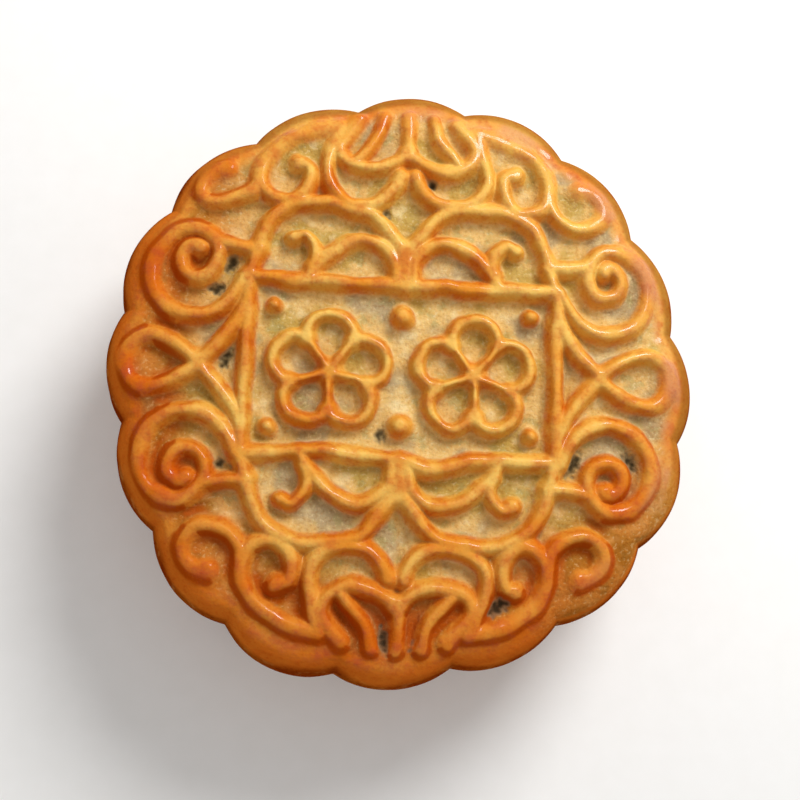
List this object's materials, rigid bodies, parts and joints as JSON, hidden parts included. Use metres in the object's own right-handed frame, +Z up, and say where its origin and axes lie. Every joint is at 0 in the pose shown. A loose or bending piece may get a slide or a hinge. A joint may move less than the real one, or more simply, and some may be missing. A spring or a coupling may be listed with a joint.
{
  "type": "mooncake",
  "caption": "Round baked mooncake with a fluted side and a moulded top: a framed panel of plum blossoms among scrolls, to rest on a plate or a tray.",
  "frame": {"origin": "middle of the flat base, where the cake rests on its plate", "axes": "+Z up through the moulded top, +X along the long side of the middle panel, +Y towards the top of the panel"},
  "size_m": [0.074, 0.0754, 0.03],
  "materials": {
    "crust": "golden-brown baked crust, egg-washed and semi-gloss on the ridges, dull and tan in the recesses"
  },
  "bodies": {
    "root": {"mooncake": "crust"}
  },
  "joints": []
}
